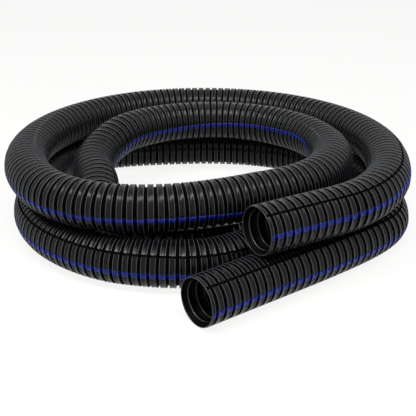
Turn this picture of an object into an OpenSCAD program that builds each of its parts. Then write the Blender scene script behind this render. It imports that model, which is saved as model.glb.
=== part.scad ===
// Corrugated vacuum hose for a pool or spa, doubled at its middle and laid down as a coil in two layers.
// One black ribbed wall runs from cut end to cut end, with one blue stripe along it.
// Both open ends come out together at the front right of the coil. Millimetres, Z up,
// origin on the floor under the middle of the coil's footprint.

/* [Hose] */
// Outside diameter over the ribs
hose_od = 48; // [46:0.5:48]
// Clear bore inside the corrugation
bore_d = 38; // [34:0.5:39]
// Thickness of the moulded wall
wall_t = 1.5; // [1:0.1:1.7]
// Spacing of the ribs at the cut ends
rib_pitch = 9.4; // [8.6:0.1:9.4]
// Width of the flat on top of a rib
rib_land = 6; // [4.8:0.1:6.5]
// Width of the floor of the groove between two ribs
groove_w = 1.8; // [1.2:0.1:2]
// Depth of the grooves along the coil
groove_depth = 2.8; // [2:0.1:3]

/* [Coil] */
// Number of ribs drawn along the wound length
coil_ribs = 158; // [80:1:158]
// Radius of the outer turn in the upper layer
outer_r = 205.5; // [204:0.5:225]
// Radius of the inner turn in the upper layer
inner_r = 135; // [132:1:138]
// Half width of the turn in the lower layer
lower_half_w = 198; // [194:1:204]
// Half depth of the turn in the lower layer
lower_half_d = 181; // [180:1:195]
// Gap between the two layers
layer_gap = 0.5; // [0.5:0.5:6]
// Depth of the flat that the coil is pressed into where it lies on the floor
coil_flat = 4.8; // [3:0.1:4.8]

/* [Cut ends] */
// Number of ribs on each cut end
end_ribs = 3; // [2:1:3]
// Direction of the upper end, in degrees from the X axis
upper_heading = 30.5; // [29:0.5:32]
// Direction of the lower end, in degrees from the X axis
lower_heading = 37; // [36:0.5:38]
// Depth of the flat under the lower cut end
end_flat = 0.5; // [0.2:0.1:0.8]

/* [Stripe] */
// Width of the blue stripe
stripe_w = 4.3; // [2:0.1:8]
// Thickness of the blue stripe
stripe_t = 0.6; // [0.4:0.1:0.8]

/* [Hidden] */

wall_colour = "#1c1d1f";
stripe_colour = "#2134ae";

hose_r = hose_od / 2;
bore_r = bore_d / 2;

// The coil is drawn with eight sides. Its bore clears the round bore behind a cut end,
// where the wall is no less than thin_wall, and further in it leaves floor_wall at the bottom of a groove.
sides = 8;
facet = 360 / sides;
floor_wall = 2.4;
thin_wall = 0.6;
groove_corner_r = hose_r - groove_depth;
coil_bore_r = min(bore_r, groove_corner_r - floor_wall);
straight_bore_r = min(bore_r / cos(facet / 2), groove_corner_r - thin_wall);

low_z = hose_r - coil_flat;
lower_end_z = hose_r - end_flat;
high_z = lower_end_z + hose_od + layer_gap;

// The turns have a guide point every turn_step degrees, and turn_gain holds the curve at its stated radius.
turn_step = 15;
turn_gain = 3 / (2 + cos(turn_step));
step_in_from = 221;
step_in_to = 292;
outer_shift = [-0.5, 0];
inner_shift = [9, -4];
lower_shift = [3, -17];
lower_fullness = 0.03;
back_left_fullness = 0.15;
back_left_angle = 141;
back_left_half = 36;

// Guide points of the stretches between the turns. The third number is the share of the height
// between the two layers in the fold, and between coil and cut end in the lower free stretch.
upper_mouth = [43, -221];
upper_step = 38.2;
upper_free = [[170, -132], [192, -93], [202, -49]];
fold = [[-133, 24, 0.71], [-132, -22, 0.6], [-120, -43, 0.6], [-120, -106, 0.33], [-63, -148, 0],
        [0, -130, 0], [24, -83, 0], [20, -57, 0], [33, -19, 0], [75, 8, 0], [122, 1, 0], [152, -40, 0],
        [139, -97, 0], [70, -130, 0], [51, -155, 0], [39, -166, 0], [20, -181, 0], [-18, -194, 0],
        [-64, -188, 0]];
lower_mouth = [-12, -266];
lower_step = 40;
lower_free = [[204, -14, 0], [201, -64, 0], [189, -109, 0.15]];

// The hose rolls half a turn between these two lengths, which takes the stripe under it to its other side.
roll_from = 1300;
roll_to = 1580;

function smooth(x) = let (t = max(0, min(1, x))) t * t * (3 - 2 * t);

function upper_turn(a) =
    let (s = smooth((a - step_in_from) / (step_in_to - step_in_from)),
         r = (outer_r * (1 - s) + inner_r * s) * turn_gain,
         c = outer_shift * (1 - s) + inner_shift * s)
    [c.x + r * cos(a), c.y + r * sin(a), high_z];

function lower_turn(a) =
    let (back_left = cos(90 * min(1, abs(a - back_left_angle) / back_left_half)),
         full = turn_gain * (1 + lower_fullness * pow(sin(2 * a), 2) + back_left_fullness * pow(back_left, 2)))
    [lower_shift.x + lower_half_w * full * cos(a), lower_shift.y + lower_half_d * full * sin(a), low_z];

function straight_run(mouth, heading, z, d) =
    [mouth.x + d * cos(heading), mouth.y + d * sin(heading), z];

// The whole hose as guide points, from the upper mouth to the lower mouth.
guide = concat(
    [for (k = [-1:3]) straight_run(upper_mouth, upper_heading, high_z, k * upper_step)],
    [for (p = upper_free) [p.x, p.y, high_z]],
    [for (a = [0:turn_step:510]) upper_turn(a)],
    [for (p = fold) [p.x, p.y, low_z + p.z * (high_z - low_z)]],
    [for (a = [240:-turn_step:15]) lower_turn(a)],
    [for (p = lower_free) [p.x, p.y, low_z + p.z * (lower_end_z - low_z)]],
    [for (k = [4:-1:-1]) straight_run(lower_mouth, lower_heading, lower_end_z, k * lower_step)]);
spans = len(guide) - 3;

// Uniform cubic B-spline through the guide: point and direction at t, from 0 to spans.
function line_point(t) =
    let (i = min(spans - 1, floor(t)), u = t - i, v = 1 - u)
    (v * v * v * guide[i] + (3 * u * u * u - 6 * u * u + 4) * guide[i + 1]
        + (3 * v * v * v - 6 * v * v + 4) * guide[i + 2] + u * u * u * guide[i + 3]) / 6;
function line_way(t) =
    let (i = min(spans - 1, floor(t)), u = t - i, v = 1 - u,
         d = v * v * (guide[i + 1] - guide[i]) + (1 + 2 * u * v) * (guide[i + 2] - guide[i + 1])
             + u * u * (guide[i + 3] - guide[i + 2]))
    d / norm(d);

// Length along the hose against t, so that the ribs can be set out at even lengths.
samples = 8;
line = [for (k = [0:spans * samples]) line_point(k / samples)];
legs = [for (k = [1:len(line) - 1]) norm(line[k] - line[k - 1])];
run = [for (k = 0, s = 0; k < len(line); s = s + (k < len(legs) ? legs[k] : 0), k = k + 1) s];
hose_length = run[len(run) - 1];
t_at = [for (k = [0:len(run) - 1]) [run[k], k / samples]];

end_len = end_ribs * rib_pitch;
ring_step = (hose_length - 2 * end_len) / (2 * coil_ribs);

// One station of the tube: centre, direction of its side and direction of its top, after the roll.
function station(s) =
    let (t = lookup(s, t_at), way = line_way(t), across = cross(way, [0, 0, 1]), right = across / norm(across),
         up = cross(right, way), a = -180 * smooth((s - roll_from) / (roll_to - roll_from)))
    [line_point(t), cos(a) * right + sin(a) * up, cos(a) * up - sin(a) * right];
function on_tube(st, r, a) = st[0] + r * (cos(a) * st[1] + sin(a) * st[2]);
function on_floor(p) = [p.x, p.y, max(p.z, 0)];

stations = [for (i = [0:2 * coil_ribs]) station(end_len + i * ring_step)];
straight_ribs = ceil(hose_od / (2 * ring_step));
function bore_ring_r(j) = min(j, coil_ribs - j) <= straight_ribs ? straight_bore_r : coil_bore_r;

outer_points = [for (i = [0:2 * coil_ribs], k = [0:sides - 1])
    on_floor(on_tube(stations[i], i % 2 == 0 ? hose_r : groove_corner_r, (k + 0.5) * facet))];
bore_points = [for (j = [0:coil_ribs], k = [0:sides - 1])
    on_tube(stations[2 * j], bore_ring_r(j), (k + 0.5) * facet)];

// Along the coil the stripe is a flat band over the tops of the ribs.
band_r = hose_r * cos(facet / 2);
function band_ring(st) =
    [for (c = [[0, -1], [1, -1], [1, 1], [0, 1]])
        st[0] + (band_r + c[0] * stripe_t) * st[1] + c[1] * stripe_w / 2 * st[2]];
band_points = [for (j = [0:coil_ribs]) each band_ring(stations[2 * j])];

// Triangles of a tube skin of rings with n points, the first of them point number base.
function skin(rings, n, base, inward) =
    [for (i = [0:rings - 2], k = [0:n - 1])
        let (a = base + i * n + k, b = base + i * n + (k + 1) % n, c = a + n, d = b + n)
        each inward ? [[a, d, b], [a, c, d]] : [[a, b, d], [a, d, c]]];
// Triangles of a flat ring face between n outer points and n bore points.
function ring_face(outer, inner, n, first) =
    [for (k = [0:n - 1])
        let (a = outer + k, b = outer + (k + 1) % n, c = inner + k, d = inner + (k + 1) % n)
        each first ? [[a, d, b], [a, c, d]] : [[a, b, d], [a, d, c]]];

// The middle of the footprint becomes the origin.
reach = concat(outer_points, band_points, [[0, lower_mouth.y - hose_r * cos(lower_heading), 0]]);
reach_x = [for (p = reach) p.x];
reach_y = [for (p = reach) p.y];
home = [(min(reach_x) + max(reach_x)) / 2, (min(reach_y) + max(reach_y)) / 2, 0];

// Least gap of the tube to itself: from each rib's centre to the centre line of every stretch
// that lies more than 2.5 diameters away along the hose, less one diameter.
function to_leg(p, a, b) =
    let (w = b - a, u = max(0, min(1, (p - a) * w / (w * w)))) norm(p - a - u * w);
least_gap = min([for (i = [0:2:2 * coil_ribs], j = [0:2 * coil_ribs - 1])
    if (abs(j - i) * ring_step > 2.5 * hose_od)
        to_leg(stations[i][0], stations[j][0], stations[j + 1][0])]) - hose_od;
echo(str("hose length ", hose_length, " mm, ", round(hose_length / rib_pitch), " ribs at full count"));
echo(str("least gap of the hose to itself ", least_gap, " mm"));
echo(str("upper mouth at ", [upper_mouth.x, upper_mouth.y, high_z] - home,
    ", lower mouth at ", [lower_mouth.x, lower_mouth.y, lower_end_z] - home));

// The ribbed wall along the whole wound length, one unbroken tube with its bore.
module coiled_wall() {
    last = 2 * coil_ribs * sides;
    bore = len(outer_points);
    color(wall_colour) translate(-home)
        polyhedron(points = concat(outer_points, bore_points),
            faces = concat(
                skin(2 * coil_ribs + 1, sides, 0, false),
                skin(coil_ribs + 1, sides, bore, true),
                ring_face(0, bore, sides, true),
                ring_face(last, bore + coil_ribs * sides, sides, false)));
}

// Half section of a cut end: the corrugated wall, from the mouth inwards.
slope_w = (rib_pitch - rib_land - groove_w) / 2;
inner_land_w = groove_w + 1.6 * wall_t;
groove_r = bore_r + wall_t;
crown_r = hose_r - wall_t;
function rib_outside(z) =
    [[hose_r, z], [hose_r, z + rib_land / 2], [groove_r, z + rib_land / 2 + slope_w],
     [groove_r, z + rib_pitch - rib_land / 2 - slope_w], [hose_r, z + rib_pitch - rib_land / 2]];
function rib_inside(z) =
    [[crown_r, z], [crown_r, z + (rib_pitch - inner_land_w) / 2 - slope_w],
     [bore_r, z + (rib_pitch - inner_land_w) / 2], [bore_r, z + (rib_pitch + inner_land_w) / 2],
     [crown_r, z + (rib_pitch + inner_land_w) / 2 + slope_w]];
function backwards(list) = [for (i = [len(list) - 1:-1:0]) list[i]];
end_section = concat(
    [for (k = [0:end_ribs - 1]) each rib_outside(k * rib_pitch)],
    [[hose_r, end_len], [crown_r, end_len]],
    backwards([for (k = [0:end_ribs - 1]) each rib_inside(k * rib_pitch)]));

// The stripe is a layer of the wall, stripe_t deep, that follows the ribs of a cut end.
layer_shift = stripe_t * norm([slope_w, hose_r - groove_r]) / (hose_r - groove_r);
slope_rate = slope_w / (hose_r - groove_r);
top_in = rib_land / 2 + slope_rate * stripe_t - layer_shift;
floor_in = rib_land / 2 + slope_rate * (hose_r - groove_r + stripe_t) - layer_shift;
function layer_inside(z) =
    [[hose_r - stripe_t, z], [hose_r - stripe_t, z + top_in], [groove_r - stripe_t, z + floor_in],
     [groove_r - stripe_t, z + rib_pitch - floor_in], [hose_r - stripe_t, z + rib_pitch - top_in]];
layer_floor = concat([for (k = [0:end_ribs - 1]) each layer_inside(k * rib_pitch)],
    [[hose_r - stripe_t, end_len]]);
cutter_over = 1;
layer_top = concat([for (k = [0:end_ribs - 1]) each rib_outside(k * rib_pitch)], [[hose_r, end_len]]);

module on_side(section) {
    turn = stripe_w / hose_r * 180 / PI;
    rotate([0, 0, -90 - turn / 2]) rotate_extrude(angle = turn, $fn = 96) polygon(section);
}

module at_end(mouth, heading, z) {
    translate([mouth.x, mouth.y, z] - home) rotate([0, 0, heading]) rotate([0, 90, 0]) children();
}

module cut_end() {
    difference() {
        rotate_extrude($fn = 96) polygon(end_section);
        on_side(concat(layer_floor, [[hose_r + cutter_over, end_len + cutter_over],
            [hose_r + cutter_over, -cutter_over], [hose_r - stripe_t, -cutter_over]]));
    }
}

module end_stripe() {
    on_side(concat(layer_floor, backwards(layer_top)));
}

module upper_cut_end() {
    color(wall_colour) at_end(upper_mouth, upper_heading, high_z) cut_end();
}

module lower_cut_end() {
    color(wall_colour) difference() {
        at_end(lower_mouth, lower_heading, lower_end_z) cut_end();
        translate([lower_mouth.x, lower_mouth.y, -hose_od] - home)
            cube([4 * hose_od, 4 * hose_od, 2 * hose_od], center = true);
    }
}

module blue_stripe() {
    last = coil_ribs * 4;
    color(stripe_colour) {
        translate(-home) polyhedron(points = band_points,
            faces = concat(skin(coil_ribs + 1, 4, 0, false),
                [[0, 2, 1], [0, 3, 2], [last, last + 1, last + 2], [last, last + 2, last + 3]]));
        at_end(upper_mouth, upper_heading, high_z) end_stripe();
        at_end(lower_mouth, lower_heading, lower_end_z) end_stripe();
    }
}

coiled_wall();
upper_cut_end();
lower_cut_end();
blue_stripe();
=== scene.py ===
# %% [markdown]
# # A corrugated vacuum hose, coiled in two layers
# The hose is one long moulded tube. This notebook lays its centre line, wraps a ribbed skin
# round it with Geometry Nodes, adds the bore, the two cut lips and the blue stripe, and sets
# up a plain studio. Lengths are named in millimetres and built in metres, in the frame of the
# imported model.

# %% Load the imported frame
import math
import bpy
import numpy as np
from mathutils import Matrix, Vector


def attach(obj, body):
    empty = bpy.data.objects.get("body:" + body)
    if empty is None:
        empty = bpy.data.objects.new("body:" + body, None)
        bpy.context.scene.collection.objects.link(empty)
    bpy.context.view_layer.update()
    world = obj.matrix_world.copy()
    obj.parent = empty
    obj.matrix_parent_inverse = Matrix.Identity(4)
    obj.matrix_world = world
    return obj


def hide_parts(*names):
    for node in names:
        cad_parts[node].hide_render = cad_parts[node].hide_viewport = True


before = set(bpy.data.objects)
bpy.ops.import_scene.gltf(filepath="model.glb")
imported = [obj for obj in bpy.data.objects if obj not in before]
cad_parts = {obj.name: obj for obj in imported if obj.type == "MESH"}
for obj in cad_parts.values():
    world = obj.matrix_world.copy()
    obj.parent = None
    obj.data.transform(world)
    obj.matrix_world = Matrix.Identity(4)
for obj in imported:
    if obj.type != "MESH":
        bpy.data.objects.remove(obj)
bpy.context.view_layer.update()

# %% [markdown]
# ## Camera
# The coil is seen from the front, about 20 degrees above the floor, with a moderately long
# lens. A small lens shift puts the coil where it belongs in the square frame, without the change
# of perspective that turning the camera would bring.

# %% Camera
MM = 0.001
FRAME_PX = 416
FOCAL_PX = 812.0
AXIS_PX = (193.5, 169.8)
CAMERA_AT = (-14.5, -867.4, 378.9)
CAMERA_DOWN = 20.16
SENSOR_MM = 36

camera = bpy.data.objects.new("Camera", bpy.data.cameras.new("Camera"))
bpy.context.scene.collection.objects.link(camera)
bpy.context.scene.camera = camera
camera.location = [n * MM for n in CAMERA_AT]
camera.rotation_euler = (math.radians(90 - CAMERA_DOWN), 0, 0)
camera.data.sensor_width = SENSOR_MM
camera.data.lens = SENSOR_MM * FOCAL_PX / FRAME_PX
camera.data.shift_x = (FRAME_PX / 2 - AXIS_PX[0]) / FRAME_PX
camera.data.shift_y = (AXIS_PX[1] - FRAME_PX / 2) / FRAME_PX
print("lens", round(camera.data.lens, 1), "mm, shift", camera.data.shift_x, camera.data.shift_y)

# %% [markdown]
# ## The centre line
# A hose this thick can't turn sharply, so the line is a uniform cubic B-spline: the same
# guide points always give the same smooth curve, and points set in a row give a straight run
# at each cut end. The hose is doubled at its middle. The doubled-back fold lies inside the
# coil, the two halves are wound one above the other, and both ends come out at the front.
# Each guide point also carries the stripe's place round the hose, and the place and depth of
# the mould seam, so these are blended along the hose just as its position is.

# %% Sizes of the hose
OUTSIDE_R = 24.0
# The lower layer sinks half a millimetre into the floor's plane, and its ribs flatten there.
LOW_Z = 23.5
HIGH_Z = 72.0
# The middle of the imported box, in the numbers of the guide points.
HOME = (-0.2828, -28.547)
# The mould seam's groove: half its width at the bottom and at the top, and its depth.
SEAM_FLOOR, SEAM_EDGE, SEAM_DEPTH = 0.95, 1.35, 1.6
print("hose", 2 * OUTSIDE_R, "mm across, layers", HIGH_Z - LOW_Z, "mm apart")

# %% Guide points of the turns
TURN_STEP = 15
# A uniform B-spline runs a little inside its guide points, so those of a turn are set out by this.
TURN_GAIN = 3 / (2 + math.cos(math.radians(TURN_STEP)))
UPPER_R, UPPER_AT = 205.5, (-0.5, 0)
INNER_R, INNER_AT = 135, (9, -4)
INWARD_FROM, INWARD_TO = 221, 292
LOWER_R, LOWER_AT = (198, 181), (3, -17)
# The lower ring is a little squarer than an ellipse, and fuller round one angle at its back left.
SQUARER, FULLER = 0.03, 0.15
FULLEST_AT, FULL_WITHIN = 141, 36


def smooth(x):
    """0 up to 0, 1 from 1 on, and a smooth step between them."""
    t = min(max(x, 0), 1)
    return t * t * (3 - 2 * t)


def upper_turn(deg):
    """The upper ring, which turns inwards at the front into the smaller inner turn."""
    s = smooth((deg - INWARD_FROM) / (INWARD_TO - INWARD_FROM))
    r = (UPPER_R * (1 - s) + INNER_R * s) * TURN_GAIN
    x, y = (outer * (1 - s) + inner * s for outer, inner in zip(UPPER_AT, INNER_AT))
    a = math.radians(deg)
    return [x + r * math.cos(a), y + r * math.sin(a), HIGH_Z]


def lower_turn(deg):
    """The lower ring, a wide oval."""
    a = math.radians(deg)
    back_left = math.cos(math.radians(90 * min(abs(deg - FULLEST_AT) / FULL_WITHIN, 1)))
    full = TURN_GAIN * (1 + SQUARER * math.sin(2 * a) ** 2 + FULLER * back_left ** 2)
    return [LOWER_AT[0] + LOWER_R[0] * full * math.cos(a),
            LOWER_AT[1] + LOWER_R[1] * full * math.sin(a), LOW_Z]


def straight_run(mouth, heading, step, counts):
    """Points in a row through a mouth, one at each of these counts of steps into the hose."""
    c, s = math.cos(math.radians(heading)), math.sin(math.radians(heading))
    return [[mouth[0] + k * step * c, mouth[1] + k * step * s, mouth[2]] for k in counts]


print("the upper turn starts at", upper_turn(0), "and the lower one ends at", lower_turn(15))


# %% Guide points of the whole hose
# The fold's third number is the share of the height between the two layers.
FOLD = [[-133, 24, 0.71], [-132, -22, 0.6], [-120, -43, 0.6], [-120, -106, 0.33], [-63, -148, 0],
        [0, -130, 0], [24, -83, 0], [20, -57, 0], [33, -19, 0], [75, 8, 0], [122, 1, 0],
        [152, -40, 0], [139, -97, 0], [70, -130, 0], [51, -155, 0], [39, -166, 0], [20, -181, 0],
        [-18, -194, 0], [-64, -188, 0]]
# The stripe's place along the upper turn. Under the front of the coil the hose rolls by half a
# turn, which takes the stripe from the outside of the ring to the inside.
ROLL_AT = (0, 60, 180, 200, 225, 250, 262, 280, 375, 410, 440, 475, 510)
ROLL = (19, 2, -4, -10, -14, -9, -7, -14, -191, -186, -183, -171, -171)
upper_angles = np.arange(0, 511, TURN_STEP)
lower_angles = np.arange(240, 14, -TURN_STEP)
guide = []


def lay(points, stripe, seam=125, depth=0):
    """Adds points with the stripe's and the seam's angle round the hose, and the seam's depth.

    The angles are in degrees from the right-hand side, over the top; the depth is from 0 to 1.
    """
    marks = [np.broadcast_to(value, len(points)) for value in (stripe, seam, depth)]
    for point, *its_marks in zip(points, *marks):
        guide.append([*point, *its_marks])


lay(straight_run((43, -221, HIGH_Z), 30.5, 38.2, (-1, 0, 1, 2, 3)), 4, 55, 1)
lay([[170, -132, HIGH_Z], [192, -93, HIGH_Z], [202, -49, HIGH_Z]], (6, 15, 20), 55, 1)
lay([upper_turn(a) for a in upper_angles], np.interp(upper_angles, ROLL_AT, ROLL),
    np.interp(upper_angles, (90, 200), (55, 125)), np.interp(upper_angles, (30, 75), (1, 0)))
lay([[x, y, LOW_Z + h * (HIGH_Z - LOW_Z)] for x, y, h in FOLD],
    np.interp(range(len(FOLD)), (0, 12, 18), (-171, -178, -172)),
    139, np.interp(range(len(FOLD)), (11, 13), (0, 1)))
lay([lower_turn(a) for a in lower_angles], -172.5, 139, 1)
lay([[204, -14, LOW_Z], [201, -64, LOW_Z], [189, -109, LOW_Z]], -173, 130, 1)
lay(straight_run((-12, -266, LOW_Z), 37, 40, (4, 3, 2, 1, 0, -1)),
    (-171, -174, -175, -174, -172, -172), 125, 1)
guide = np.array(guide, float)
guide[:, :2] -= HOME
guide[:, :3] *= MM
print(len(guide), "guide points")


# %% Follow the line
STEPS_PER_SPAN = 40


def b_spline(points, per_span):
    """A uniform cubic B-spline, in which each span blends four neighbouring points."""
    rows = []
    for a, b, c, d in zip(points, points[1:], points[2:], points[3:]):
        for u in np.arange(per_span) / per_span:
            v = 1 - u
            early = 3 * u**3 - 6 * u**2 + 4
            late = 3 * v**3 - 6 * v**2 + 4
            rows.append((v**3 * a + early * b + late * c + u**3 * d) / 6)
    rows.append((points[-3] + 4 * points[-2] + points[-1]) / 6)
    return np.array(rows)


line = b_spline(guide, STEPS_PER_SPAN)
along = np.r_[0, np.cumsum(np.linalg.norm(np.diff(line[:, :3], axis=0), axis=1))]
way = np.gradient(line[:, :3], along, axis=0)
way /= np.linalg.norm(way, axis=1)[:, None]
bend = np.gradient(way, along, axis=0)

# %% [markdown]
# ## Where the ribs stand
# Corrugated hose gives a little along its length. It is pulled open at the cut ends and packed
# closer in the coil, so the ribs are spaced by a smooth rule of the length along the hose.

# %% Rib stations
SPACING_AT = (0, 250, 500, 1000, 2530, 2680, 2890, 3140, 3440, 3640)
SPACING = (9.5, 9.5, 8.9, 8.8, 8.8, 8.15, 8.15, 8.8, 9.0, 9.4)
spacing = np.interp(along / MM, SPACING_AT, SPACING) * MM
rib_count = np.r_[0, np.cumsum(np.diff(along) / ((spacing[1:] + spacing[:-1]) / 2))]
RIBS = round(rib_count[-1])
rib_at = np.interp(np.linspace(0, rib_count[-1], RIBS + 1), rib_count, along)


def at_ribs(values):
    """Values along the line, read off at each rib."""
    columns = values.reshape(len(along), -1).T
    return np.stack([np.interp(rib_at, along, column) for column in columns], axis=1).squeeze()


stations = {"way": at_ribs(way), "bend": at_ribs(bend), "spacing": np.gradient(rib_at),
            "stripe_turn": np.radians(at_ribs(line[:, 3])),
            "seam_turn": np.radians(at_ribs(line[:, 4])), "seam_depth": at_ribs(line[:, 5])}
print(RIBS, "rib spaces")

# %% [markdown]
# ## A ribbed skin with Geometry Nodes
# Each rib of a corrugated hose is a stiff ring, and the thin groove between two ribs is what
# bends. The node tree works the same way. It makes one long strip of stations, several for
# each rib, sets every rib square to the centre line, and sweeps a section round it. On the
# inside of a bend the grooves narrow, and on the outside they open. The same tree makes the
# outer wall, the bore and the stripe: only the rib's profile and the section differ.

# %% Small helpers
MATH = "ShaderNodeMath"
VECTOR = "ShaderNodeVectorMath"
NAMED = "GeometryNodeInputNamedAttribute"
SAMPLE = "GeometryNodeSampleIndex"


def add(tree, kind, links=(), **settings):
    """Adds a node with its settings, and links or fills its inputs.

    A node that is given as a link stands for its first output.
    """
    made = tree.nodes.new(kind)
    for name, value in settings.items():
        setattr(made, name, value)
    for key, value in dict(links).items():
        if isinstance(value, bpy.types.Node):
            value = value.outputs[0]
        if isinstance(value, bpy.types.NodeSocket):
            tree.links.new(value, made.inputs[key])
        else:
            made.inputs[key].default_value = value
    return made


def wire_mesh(name, points, closed=False, **columns):
    """A chain of edges that carries a number or a vector at each point."""
    mesh = bpy.data.meshes.new(name)
    n = len(points)
    edges = [(i, (i + 1) % n) for i in range(n if closed else n - 1)]
    mesh.from_pydata([tuple(p) for p in points], edges, [])
    for key, values in columns.items():
        values = np.asarray(values, np.float32)
        plain = values.ndim == 1
        layer = mesh.attributes.new(key, "FLOAT" if plain else "FLOAT_VECTOR", "POINT")
        layer.data.foreach_set("value" if plain else "vector", values.ravel())
    return mesh


def new_object(name, mesh):
    made = bpy.data.objects.new(name, mesh)
    bpy.context.scene.collection.objects.link(made)
    return made


# %% The tree's inputs
t = bpy.data.node_groups.new("Ribbed skin", "GeometryNodeTree")
t.interface.new_socket("Geometry", in_out="INPUT", socket_type="NodeSocketGeometry")
t.interface.new_socket("Geometry", in_out="OUTPUT", socket_type="NodeSocketGeometry")
for title, kind in (("Rib spaces", "NodeSocketInt"), ("Stations per rib", "NodeSocketInt"),
                    ("Stiff half width", "NodeSocketFloat"), ("Half rib share", "NodeSocketFloat"),
                    ("Rib profile", "NodeSocketObject"), ("Section", "NodeSocketObject"),
                    ("Turned by", "NodeSocketString"), ("Finish", "NodeSocketMaterial"),
                    ("Second finish below", "NodeSocketFloat"),
                    ("Second finish", "NodeSocketMaterial")):
    t.interface.new_socket(title, in_out="INPUT", socket_type=kind)
SOCKETS = {item.name: item.identifier for item in t.interface.items_tree if item.in_out == "INPUT"}
given = add(t, "NodeGroupInput").outputs
print(list(SOCKETS))

# %% One strip of stations, numbered by rib
# The rib profile is a small mesh: x says which rib, y how far from its middle, z the radius.
count = add(t, MATH, {0: given["Rib spaces"], 1: given["Stations per rib"], 2: 1.0},
            operation="MULTIPLY_ADD")
strip = add(t, "GeometryNodeMeshLine", {"Count": count})
strip = add(t, "GeometryNodeMeshToCurve", {"Mesh": strip})
index = add(t, "GeometryNodeInputIndex")
space = add(t, MATH, {0: index, 1: 0.5}, operation="ADD")
space = add(t, MATH, {0: space, 1: given["Stations per rib"]}, operation="DIVIDE")
space = add(t, MATH, {0: space}, operation="FLOOR")
step = add(t, MATH, {0: space, 1: given["Stations per rib"]}, operation="MULTIPLY")
step = add(t, MATH, {0: index, 1: step}, operation="SUBTRACT")
step = add(t, MATH, {0: step}, operation="ROUND")
position = add(t, "GeometryNodeInputPosition")
profile = add(t, "GeometryNodeObjectInfo", {"Object": given["Rib profile"]}).outputs["Geometry"]
row = add(t, SAMPLE, {"Geometry": profile, "Value": position, "Index": step},
          data_type="FLOAT_VECTOR")
row = add(t, "ShaderNodeSeparateXYZ", {0: row}).outputs
rib = add(t, MATH, {0: space, 1: row[0]}, operation="ADD")
rib = add(t, MATH, {0: rib}, operation="ROUND")
print(len(t.nodes), "nodes so far")

# %% What the centre line says at each rib
values = {"middle": (position, "FLOAT_VECTOR")}
for title, name, kind in (("ahead", "way", "FLOAT_VECTOR"), ("bent", "bend", "FLOAT_VECTOR"),
                          ("turned", given["Turned by"], "FLOAT"), ("depth", "seam_depth", "FLOAT"),
                          ("pitch", "spacing", "FLOAT")):
    values[title] = (add(t, NAMED, {"Name": name}, data_type=kind), kind)
held = {}
for title, (value, kind) in values.items():
    found = add(t, SAMPLE, {"Geometry": given["Geometry"], "Value": value, "Index": rib},
                data_type=kind)
    held[title] = found.outputs[0]
side = add(t, VECTOR, {0: held["ahead"], 1: (0, 0, 1)}, operation="CROSS_PRODUCT")
side = add(t, VECTOR, {0: side}, operation="NORMALIZE")
top = add(t, VECTOR, {0: side, 1: held["ahead"]}, operation="CROSS_PRODUCT")
held.update(side=side.outputs[0], top=top.outputs[0], off=row[1], radius=row[2])

# These are kept at the stations, because the sweep makes new points that have lost them.
capture = add(t, "GeometryNodeCaptureAttribute", {0: strip})
for i, (title, socket) in enumerate(held.items()):
    capture.capture_items.new("VECTOR" if socket.type == "VECTOR" else "FLOAT", title)
    t.links.new(socket, capture.inputs[i + 1])
held = {socket.name: socket for socket in capture.outputs}
print(list(held))

# %% Sweep the section
section = add(t, "GeometryNodeObjectInfo", {"Object": given["Section"]}).outputs["Geometry"]
section = add(t, "GeometryNodeMeshToCurve", {"Mesh": section})
skin = add(t, "GeometryNodeCurveToMesh", {"Curve": capture, "Profile Curve": section})
at = add(t, NAMED, {"Name": "at"}, data_type="FLOAT")
lift = add(t, NAMED, {"Name": "lift"}, data_type="FLOAT")
notch = add(t, NAMED, {"Name": "notch"}, data_type="FLOAT")
print(len(t.nodes), "nodes so far")

# %% Set every point round its rib
angle = add(t, MATH, {0: at, 1: held["turned"]}, operation="ADD")
cosine = add(t, MATH, {0: angle}, operation="COSINE")
sine = add(t, MATH, {0: angle}, operation="SINE")
sideways = add(t, VECTOR, {0: held["side"], "Scale": cosine}, operation="SCALE")
upwards = add(t, VECTOR, {0: held["top"], "Scale": sine}, operation="SCALE")
outward = add(t, VECTOR, {0: sideways, 1: upwards}, operation="ADD")
radius = add(t, MATH, {0: held["radius"], 1: lift}, operation="ADD")
notch = add(t, MATH, {0: notch, 1: held["depth"]}, operation="MULTIPLY")
radius = add(t, MATH, {0: radius, 1: notch}, operation="SUBTRACT")
place = add(t, VECTOR, {0: outward, "Scale": radius}, operation="SCALE")
place = add(t, VECTOR, {0: held["middle"], 1: place}, operation="ADD")

# A rib has its full width on the outside of a bend, and gives way a little where there is less
# room. The share says how much of the spacing half a rib may fill, so a groove is always left.
inward = add(t, VECTOR, {0: outward, 1: held["bent"]}, operation="DOT_PRODUCT").outputs["Value"]
inward = add(t, MATH, {0: inward, 1: radius}, operation="MULTIPLY")
room = add(t, MATH, {0: 1.0, 1: inward}, operation="SUBTRACT")
room = add(t, MATH, {0: room, 1: held["pitch"]}, operation="MULTIPLY")
room = add(t, MATH, {0: room, 1: given["Stiff half width"]}, operation="DIVIDE")
room = add(t, MATH, {0: room, 1: given["Half rib share"]}, operation="MULTIPLY")
room = add(t, MATH, {0: room, 1: 1.0}, operation="MINIMUM")
off = add(t, MATH, {0: held["off"], 1: room}, operation="MULTIPLY")
off = add(t, VECTOR, {0: held["ahead"], "Scale": off}, operation="SCALE")
place = add(t, VECTOR, {0: place, 1: off}, operation="ADD")
# The hose is soft: where it rests, its ribs flatten on the floor instead of going through. Only
# the height is limited, because x and y never come near 9 m.
place = add(t, VECTOR, {0: place, 1: (-9, -9, 0)}, operation="MAXIMUM")
skin = add(t, "GeometryNodeSetPosition", {"Geometry": skin, "Position": place})
print(len(t.nodes), "nodes so far")

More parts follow.
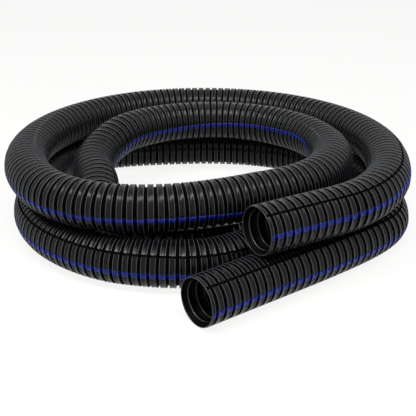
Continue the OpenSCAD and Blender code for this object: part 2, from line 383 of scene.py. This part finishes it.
# %% Keep the radius, smooth the shading, and give two finishes
# An edge stays sharp where both of its points are in the seam. The second finish goes to the
# faces nearest the centre line, and to the mould seam: painted shade on the wall and the stripe,
# and a painted highlight on the bore's lands.
for title, socket in (("rib_radius", held["radius"]), ("seam_here", held["depth"])):
    skin = add(t, "GeometryNodeStoreNamedAttribute",
               {"Geometry": skin, "Name": title, "Value": socket})
skin = add(t, "GeometryNodeSetShadeSmooth", {0: skin})
crisp = add(t, NAMED, {"Name": "crisp"}, data_type="FLOAT")
crisp = add(t, MATH, {0: crisp, 1: 0.9}, operation="GREATER_THAN")
skin = add(t, "GeometryNodeSetShadeSmooth", {0: skin, "Selection": crisp, "Shade Smooth": False},
           domain="EDGE")
skin = add(t, "GeometryNodeRealizeInstances", {0: skin})
skin = add(t, "GeometryNodeSetMaterial", {"Geometry": skin, "Material": given["Finish"]})
low = add(t, NAMED, {"Name": "rib_radius"}, data_type="FLOAT")
low = add(t, MATH, {0: low, 1: given["Second finish below"]}, operation="LESS_THAN")
seam = add(t, NAMED, {"Name": "from_seam"}, data_type="FLOAT")
seam = add(t, MATH, {0: seam, 1: SEAM_EDGE * MM}, operation="LESS_THAN")
seam_here = add(t, NAMED, {"Name": "seam_here"}, data_type="FLOAT")
seam = add(t, MATH, {0: seam, 1: seam_here}, operation="MULTIPLY")
second = add(t, MATH, {0: low, 1: seam}, operation="MAXIMUM")
second = add(t, MATH, {0: second, 1: 0.5}, operation="GREATER_THAN")
skin = add(t, "GeometryNodeSetMaterial", {
    "Geometry": skin, "Selection": second, "Material": given["Second finish"]})
add(t, "NodeGroupOutput", {"Geometry": skin})
print(len(t.nodes), "nodes in the tree")


# %% Run the tree and keep a plain mesh
def run_skin(name, profile, share, section, turned_by, finish, second_below, second_finish):
    """One piece along the whole hose, with the tree's result kept as its own mesh."""
    piece = new_object(name, wire_mesh(name + "_line", at_ribs(line[:, :3]), **stations))
    rib_mesh = new_object(name + "_profile",
                          wire_mesh(name + "_profile", np.array(profile) * (1, MM, MM)))
    ring = new_object(name + "_section", section)
    modifier = piece.modifiers.new("Ribbed skin", "NODES")
    modifier.node_group = t
    for title, value in (("Rib spaces", RIBS), ("Stations per rib", len(profile)),
                         ("Stiff half width", max(abs(row[1]) for row in profile) * MM),
                         ("Half rib share", share), ("Rib profile", rib_mesh), ("Section", ring),
                         ("Turned by", turned_by), ("Finish", finish),
                         ("Second finish below", second_below * MM),
                         ("Second finish", second_finish)):
        modifier[SOCKETS[title]] = value
    bpy.context.view_layer.update()
    depsgraph = bpy.context.evaluated_depsgraph_get()
    shape = bpy.data.meshes.new_from_object(piece.evaluated_get(depsgraph))
    piece.modifiers.remove(modifier)
    piece.data = shape
    shape.name = name
    for spare in (rib_mesh, ring):
        bpy.data.objects.remove(spare)
    triangles = sum(len(face.vertices) - 2 for face in shape.polygons)
    print(name, len(shape.vertices), "points,", triangles, "triangles")
    return piece


# %% [markdown]
# ## Finishes
# Vacuum hose is blown from soft polyethylene, black with a band of blue run in beside it. The
# ribs take long soft glints, with a painted highlight along each rim, and the grooves between
# them are painted black as shade, with no glint, so they read as black lines.


# %% Colours
def srgb(text):
    """The linear colour of a hex code, with full opacity."""
    parts = [int(text[i:i + 2], 16) / 255 for i in (1, 3, 5)]
    linear = [c / 12.92 if c <= 0.04045 else ((c + 0.055) / 1.055) ** 2.4 for c in parts]
    return (*linear, 1.0)


def fresh_tree(owner):
    """The owner's node tree, emptied."""
    owner.use_nodes = True
    owner.node_tree.nodes.clear()
    return owner.node_tree


print("mid grey is", [round(c, 3) for c in srgb("#808080")])


# %% The polished face of a rib
# A rib's colour turns into its rim's painted highlight between these two radii.
RIM_HIGHLIGHT_FROM, RIM_HIGHLIGHT_TO = 23.7, 23.95
POLISH_FROM, POLISH_TO = 0.2, 0.32
POLYETHYLENE_IOR = 1.51


def moulded_polyethylene(name, colour, rim_highlight_colour):
    finish = bpy.data.materials.new(name)
    tree = fresh_tree(finish)
    where = add(tree, "ShaderNodeTexCoord").outputs["Object"]
    # Cloudy variation over a few centimetres, and the fine grain of the mould at about 0.8 mm.
    cloud = add(tree, "ShaderNodeTexNoise", {"Vector": where, "Scale": 35.0, "Detail": 3.0})
    grain = add(tree, "ShaderNodeTexNoise", {"Vector": where, "Scale": 1200.0, "Detail": 2.0})
    # The raised rims are painted paler than the hollow between them, as a painted highlight.
    rim_highlight = add(tree, "ShaderNodeAttribute", attribute_name="rib_radius").outputs["Fac"]
    rim_highlight = add(tree, "ShaderNodeMapRange", {
        "Value": rim_highlight, "From Min": RIM_HIGHLIGHT_FROM * MM, "From Max": RIM_HIGHLIGHT_TO * MM},
        interpolation_type="SMOOTHSTEP")
    tone = add(tree, "ShaderNodeMix", {"Factor": rim_highlight, 6: srgb(colour), 7: srgb(rim_highlight_colour)},
               data_type="RGBA")
    rough = add(tree, "ShaderNodeMapRange", {
        "Value": cloud.outputs["Fac"], "From Min": 0.3, "From Max": 0.7,
        "To Min": POLISH_FROM, "To Max": POLISH_TO})
    relief = add(tree, "ShaderNodeBump", {
        "Height": grain.outputs["Fac"], "Strength": 0.1, "Distance": 0.0002})
    skin = add(tree, "ShaderNodeBsdfPrincipled", {
        "Base Color": tone.outputs[2], "Roughness": rough, "Normal": relief,
        "IOR": POLYETHYLENE_IOR, "Specular IOR Level": 0.15})
    add(tree, "ShaderNodeOutputMaterial", {"Surface": skin})
    return finish


# %% The plain face of a groove or the bore
def plain_polyethylene(name, colour, roughness, gloss):
    finish = bpy.data.materials.new(name)
    tree = fresh_tree(finish)
    skin = add(tree, "ShaderNodeBsdfPrincipled", {
        "Base Color": srgb(colour), "Roughness": roughness, "IOR": POLYETHYLENE_IOR,
        "Specular IOR Level": gloss})
    add(tree, "ShaderNodeOutputMaterial", {"Surface": skin})
    return finish


# %% The finishes
# A satin black with a painted highlight in thin pale lines along the rims.
black_polyethylene = moulded_polyethylene("Black moulded polyethylene", "#08090a", "#4e5054")
# Painted shade with no glint at all, so a groove or the seam stays black from every side.
black_shade_groove = plain_polyethylene("Black polyethylene, dull groove", "#020202", 0.8, 0.03)
# A deep blue that stays readable beside the black without looking painted on; its rims carry
# a painted highlight.
blue_polyethylene = moulded_polyethylene("Blue moulded polyethylene", "#0c1868", "#3a4c98")
# The same blue darkened as painted shade in a groove, which joins the dashes into one stripe.
blue_shade_groove = plain_polyethylene("Blue polyethylene, dull groove", "#0a1250", 0.8, 0.03)
# The inside is painted blacker and duller than the wall, as painted shade.
bore_painted_shade = plain_polyethylene("Black polyethylene, bore", "#020202", 0.6, 0.04)
# The narrow lands of the bore carry a painted highlight, and draw thin rings in the dark.
land_painted_highlight = plain_polyethylene("Black polyethylene, bore lands", "#505255", 0.35, 0.5)
print("finishes", [m.name for m in bpy.data.materials])

# %% [markdown]
# ## The outer wall
# This is the hose itself. Real corrugated hose is extruded as a soft tube and blown into a
# chain of moving mould halves, which press the ribs and leave a seam line where they meet. A
# rib has a wide, slightly hollow top with a raised rim on each side, and steep sides down to a
# narrow groove. The section is a ring of points, with a few more packed into the mould seam, a
# thin groove that crosses every rib. One sweep keeps the wall in one closed sheet, which
# separate rings would not.


# %% Outer wall
def ring_section(name, angles, lift=0.0, notch=0.0, has_seam=False):
    """A ring of points at these angles, in radians from the mould seam where it has one."""
    n = len(angles)
    turned = np.abs((np.array(angles) + math.pi) % (2 * math.pi) - math.pi)
    near = (turned * OUTSIDE_R < 1.1 * SEAM_EDGE) * has_seam
    from_seam = turned * OUTSIDE_R * MM if has_seam else np.ones(n)
    return wire_mesh(name, [(math.cos(a), math.sin(a), 0) for a in angles], closed=True, at=angles,
                     lift=np.broadcast_to(lift, n), notch=np.broadcast_to(notch, n),
                     crisp=near, from_seam=from_seam)


# Each row has the rib it belongs to, 0 for this one and 1 for the next, then the place along the
# hose from that rib's middle, and the radius.
outer_profile = [(0, 0.0, 23.55), (0, 2.15, 23.6), (0, 2.7, 24.0), (0, 3.2, 23.5), (0, 3.5, 21.0),
                 (1, -3.5, 21.0), (1, -3.2, 23.5), (1, -2.7, 24.0), (1, -2.15, 23.6)]
WALL_SIDES = 22
WALL_SHARE = 0.365
GROOVE_BELOW = 22.5
seam_angles = np.array((-SEAM_EDGE, -SEAM_FLOOR, SEAM_FLOOR, SEAM_EDGE)) / OUTSIDE_R
wall_angles = np.r_[seam_angles, np.linspace(0, 2 * math.pi, WALL_SIDES + 1)[1:-1]]
in_seam = np.abs(wall_angles) * OUTSIDE_R < 1.1 * SEAM_FLOOR
wall_ring = ring_section("wall_section", wall_angles, notch=in_seam * SEAM_DEPTH * MM,
                         has_seam=True)
hose_wall = run_skin("hose_wall", outer_profile, WALL_SHARE, wall_ring, "seam_turn",
                     black_polyethylene, GROOVE_BELOW, black_shade_groove)

# %% [markdown]
# ## The bore
# Inside, the same ribs show as rings: narrow lands at the bore's size between wider crowns. It
# is swept as a sheet of its own, its faces turned inwards, so that the wall keeps its real
# thickness between the two.

# %% Bore
BORE_SIDES = 36
BORE_SHARE = 0.485
LAND_BELOW = 19.5
bore_profile = [(0, 0.0, 22.5), (0, 2.8, 22.3), (0, 4.1, 19.2), (1, -4.1, 19.2), (1, -2.8, 22.3)]
bore_angles = np.linspace(2 * math.pi, 0, BORE_SIDES + 1)[:-1]
bore_ring = ring_section("bore_section", bore_angles)
hose_bore = run_skin("hose_bore", bore_profile, BORE_SHARE, bore_ring, "seam_turn",
                     bore_painted_shade, LAND_BELOW, land_painted_highlight)

# %% [markdown]
# ## The cut lips
# The hose is cut through the middle of a rib. A knife leaves a slightly rounded lip, which
# closes the wall between its outside and its bore. It is a half round turned about the hose's
# axis, since nothing repeats along it.


# %% Lips
LIP_R, LIP_ROUND = 23, 0.5
LIP_ROUNDS, LIP_SIDES = 7, 48
# The lip takes half the painted highlight of a rim, so it stands halfway between the two radii
# where a rib's colour turns into its rim's.
LIP_HIGHLIGHT_R = 23.83


def cut_lip(at, facing):
    """Points and faces of a lip about this middle, its round side facing out of the mouth."""
    side = facing.cross(Vector((0, 0, 1))).normalized()
    top = side.cross(facing)
    points, faces = [], []
    for j in range(LIP_ROUNDS):
        a = math.pi * j / (LIP_ROUNDS - 1)
        r, out = LIP_R + LIP_ROUND * math.cos(a), LIP_ROUND * math.sin(a)
        for k in range(LIP_SIDES):
            b = 2 * math.pi * k / LIP_SIDES
            spoke = side * math.cos(b) + top * math.sin(b)
            points.append(at + spoke * r * MM + facing * out * MM)
    for j in range(LIP_ROUNDS - 1):
        for k in range(LIP_SIDES):
            a, b = j * LIP_SIDES + k, j * LIP_SIDES + (k + 1) % LIP_SIDES
            faces.append((a, a + LIP_SIDES, b + LIP_SIDES, b))
    return points, faces


lip_points, lip_faces = [], []
for mouth, facing in ((line[0, :3], -way[0]), (line[-1, :3], way[-1])):
    points, faces = cut_lip(Vector(mouth), Vector(facing))
    lip_faces += [[i + len(lip_points) for i in face] for face in faces]
    lip_points += points
lip_mesh = bpy.data.meshes.new("cut_lips")
lip_mesh.from_pydata([tuple(p) for p in lip_points], [], lip_faces)
lip_mesh.shade_smooth()
lip_mesh.materials.append(black_polyethylene)
# The lip's painted highlight comes from this radius, which the rim blend of its finish reads.
lip_highlight_radius = lip_mesh.attributes.new("rib_radius", "FLOAT", "POINT")
lip_highlight_radius.data.foreach_set("value", [LIP_HIGHLIGHT_R * MM] * len(lip_points))
cut_lips = new_object("cut_lips", lip_mesh)
print("lips", len(lip_points), "points")

# %% [markdown]
# ## The stripe
# The blue band is run into the black wall along its whole length as the tube leaves the die,
# so it shows how far the hose has twisted. It follows every rib and groove, so the same tree
# makes it from a short closed section a hair above the wall.

# %% Stripe
STRIPE_WIDTH = 4.8
stripe_half = STRIPE_WIDTH / 2 / OUTSIDE_R
stripe_angles = np.array([-1, -1 / 3, 1 / 3, 1, 1, -1]) * stripe_half
stripe_lift = np.array([0.1, 0.13, 0.13, 0.1, -0.4, -0.4]) * MM
stripe_ring = ring_section("stripe_section", stripe_angles, lift=stripe_lift)
stripe_band = run_skin("stripe_band", outer_profile, WALL_SHARE, stripe_ring, "stripe_turn",
                       blue_polyethylene, GROOVE_BELOW, blue_shade_groove)

# %% [markdown]
# ## Put the pieces on the body
# All four pieces ride on the one body, and the imported parts they stand for are hidden. The
# hose is one tube from mouth to mouth, with its bore, lips and stripe along it.

for piece in (hose_wall, hose_bore, cut_lips, stripe_band):
    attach(piece, "root")
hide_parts("coiled_wall", "upper_cut_end", "lower_cut_end")
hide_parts("blue_stripe")

# %% [markdown]
# ## Studio
# A pale floor and a white backdrop, with one long soft light above and in front. The white of
# the background is given to the rays that see it, so it adds no light to the hose, and the
# floor still takes the hose's shadow.

# %% Floor
WHITE = "#fffffe"
# Just under the hose, so the two never share a plane.
FLOOR_Z = -0.2 * MM
FLOOR_SEEN = 0.88


def sees_backdrop(tree):
    """1 for camera, glossy and transmission rays, which see the backdrop, and 0 for the rest."""
    rays = add(tree, "ShaderNodeLightPath").outputs
    seen = add(tree, MATH, {0: rays["Is Camera Ray"], 1: rays["Is Glossy Ray"]},
               operation="MAXIMUM")
    return add(tree, MATH, {0: seen, 1: rays["Is Transmission Ray"]}, operation="MAXIMUM")


floor_mesh = bpy.data.meshes.new("floor")
floor_mesh.from_pydata([(-4, -4, FLOOR_Z), (4, -4, FLOOR_Z), (4, 6, FLOOR_Z), (-4, 6, FLOOR_Z)],
                       [], [(0, 1, 2, 3)])
floor = new_object("floor", floor_mesh)
paper = bpy.data.materials.new("White paper sweep")
tree = fresh_tree(paper)
matt = add(tree, "ShaderNodeBsdfDiffuse", {"Color": srgb("#f4f4f2")})
glow = add(tree, "ShaderNodeEmission", {"Color": srgb(WHITE), "Strength": 1.0})
seen = add(tree, MATH, {0: sees_backdrop(tree), 1: FLOOR_SEEN}, operation="MULTIPLY")
sweep = add(tree, "ShaderNodeMixShader", {0: seen, 1: matt, 2: glow})
add(tree, "ShaderNodeOutputMaterial", {"Surface": sweep})
floor_mesh.materials.append(paper)
print("floor", list(floor.dimensions), "m")

# %% World
world = bpy.data.worlds.new("Studio")
bpy.context.scene.world = world
tree = fresh_tree(world)
soft = add(tree, "ShaderNodeBackground", {"Color": srgb("#f7f9ff"), "Strength": 0.25})
white = add(tree, "ShaderNodeBackground", {"Color": srgb(WHITE), "Strength": 1.0})
backdrop = add(tree, "ShaderNodeMixShader", {0: sees_backdrop(tree), 1: soft, 2: white})
add(tree, "ShaderNodeOutputWorld", {"Surface": backdrop})
print("world", world.name, "with", len(tree.nodes), "nodes")

# %% Light
# The long box lies across the view, so its glint crosses the ribs and finds both rims of each.
LAMP_SIZE = (2.2, 0.35)
LAMP_WATTS = 45
LAMP_AT = (-0.1, -0.65, 1.7)
LAMP_AIM = Vector((0, 0, 0.05))
lamp = bpy.data.lights.new("long soft box", "AREA")
lamp.shape = "RECTANGLE"
lamp.size, lamp.size_y = LAMP_SIZE
lamp.energy = LAMP_WATTS
box = bpy.data.objects.new("long soft box", lamp)
bpy.context.scene.collection.objects.link(box)
box.location = LAMP_AT
box.rotation_euler = (LAMP_AIM - box.location).to_track_quat("-Z", "Y").to_euler()
bpy.context.scene.view_settings.view_transform = "Standard"
print("lamp", LAMP_SIZE, "m,", LAMP_WATTS, "W")
